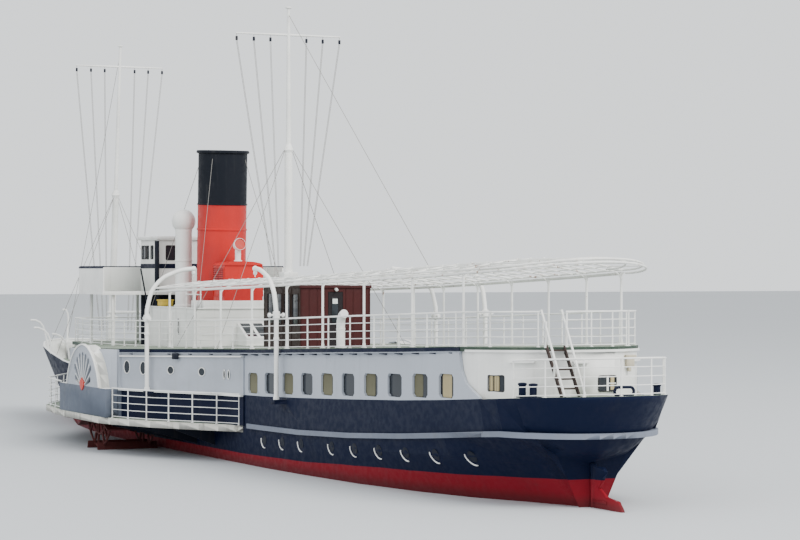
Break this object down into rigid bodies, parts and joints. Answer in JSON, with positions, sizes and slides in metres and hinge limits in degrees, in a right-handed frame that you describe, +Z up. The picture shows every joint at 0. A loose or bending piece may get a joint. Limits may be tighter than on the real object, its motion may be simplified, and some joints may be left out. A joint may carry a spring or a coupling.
{
  "type": "coastal paddle steamer, half-size scale model",
  "caption": "Side-wheel excursion steamer with raked bow, long saloon, promenade deck under a bare awning frame, tall funnel, bridge and two masts; half-size scale model.",
  "frame": {"origin": "on the centreline at the waterline, near amidships, 1.70 m abaft the paddle shaft", "axes": "+X towards the bow, +Y to port, +Z up"},
  "size_m": [28.445, 7.04, 9.4264],
  "materials": {
    "navy_hull_paint": "satin navy paint",
    "red_boot_paint": "matt dark red underwater paint",
    "red_paint": "satin bright red paint",
    "maroon_paint": "satin maroon paint",
    "brown_paint": "satin dark brown paint",
    "green_deck_paint": "matt grey-green deck paint",
    "worn_white_paint": "worn white paint with dirt",
    "grey_iron": "bare and painted iron",
    "light_grey_paint": "satin light grey-white paint",
    "white_paint": "satin white paint"
  },
  "bodies": {
    "ship": {"hull": "navy_hull_paint", "engine_block": "grey_iron", "side_plating_port": "light_grey_paint", "side_plating_starboard": "light_grey_paint", "fore_bulkhead": "white_paint", "bow_bulwark": "navy_hull_paint", "rubbing_strake": "worn_white_paint", "stern_house": "white_paint", "promenade_deck": "green_deck_paint", "sponson_port": "worn_white_paint", "sponson_starboard": "worn_white_paint", "paddle_box_port": "light_grey_paint", "paddle_box_starboard": "light_grey_paint", "sponson_house_aft_port": "light_grey_paint", "sponson_house_aft_starboard": "light_grey_paint", "sponson_house_fore_port": "light_grey_paint", "sponson_house_fore_starboard": "light_grey_paint", "engine_casing": "white_paint", "skylight_casing": "red_paint", "funnel": "red_paint", "engine_ventilator": "white_paint", "small_cowl": "white_paint", "deckhouse": "brown_paint", "bridge_deck": "white_paint", "bridge_bulwark": "white_paint", "wheelhouse": "white_paint", "main_mast": "white_paint", "fore_mast": "white_paint", "awning_frame": "white_paint", "awning_stanchions_port": "white_paint", "awning_stanchions_starboard": "white_paint", "promenade_rail_port": "white_paint", "promenade_rail_starboard": "white_paint", "promenade_rail_aft": "white_paint", "promenade_rail_fore": "white_paint", "quarterdeck_rail": "white_paint", "sponson_rail_aft_port": "white_paint", "sponson_rail_fore_port": "white_paint", "sponson_rail_aft_starboard": "white_paint", "sponson_rail_fore_starboard": "white_paint", "stern_ladder": "brown_paint", "deck_vent": "white_paint", "windlass": "grey_iron"},
    "paddle_wheels": {"paddle_wheels": "red_boot_paint"},
    "rudder": {"rudder": "red_boot_paint"},
    "davit_fore_port": {"davit_fore_port": "white_paint"},
    "davit_fore_starboard": {"davit_fore_starboard": "white_paint"},
    "davit_aft_port": {"davit_aft_port": "white_paint"},
    "davit_aft_starboard": {"davit_aft_starboard": "white_paint"},
    "cargo_boom": {"cargo_boom": "white_paint"},
    "deckhouse_door": {"deckhouse_door": "maroon_paint"}
  },
  "joints": [
    {"name": "paddle_shaft", "type": "hinge", "parent": "ship", "child": "paddle_wheels", "pos_m": [1.7, 0, 0.825], "axis": [0, 1, 0], "continuous": true},
    {"name": "rudder_stock", "type": "hinge", "parent": "ship", "child": "rudder", "pos_m": [-12.695, 0, 0], "axis": [0, 0, 1], "range_deg": [-35, 35]},
    {"name": "davit_fore_port_slew", "type": "hinge", "parent": "ship", "child": "davit_fore_port", "pos_m": [-0.8, 3.005, 1.265], "axis": [0, 0, 1], "range_deg": [-170, 170]},
    {"name": "davit_fore_starboard_slew", "type": "hinge", "parent": "ship", "child": "davit_fore_starboard", "pos_m": [-0.8, -3.005, 1.265], "axis": [0, 0, -1], "range_deg": [-170, 170]},
    {"name": "davit_aft_port_slew", "type": "hinge", "parent": "ship", "child": "davit_aft_port", "pos_m": [-4.975, 2.03, 1.265], "axis": [0, 0, 1], "range_deg": [0, 170]},
    {"name": "davit_aft_starboard_slew", "type": "hinge", "parent": "ship", "child": "davit_aft_starboard", "pos_m": [-4.975, -2.03, 1.265], "axis": [0, 0, -1], "range_deg": [0, 170]},
    {"name": "boom_slew", "type": "hinge", "parent": "ship", "child": "cargo_boom", "pos_m": [10.85, 0, 2.525], "axis": [0, 0, 1], "range_deg": [-80, 80]},
    {"name": "deckhouse_door_hinge", "type": "hinge", "parent": "ship", "child": "deckhouse_door", "pos_m": [-2.82, 0.15, 2.2], "axis": [0, 0, -1], "range_deg": [0, 110]}
  ]
}
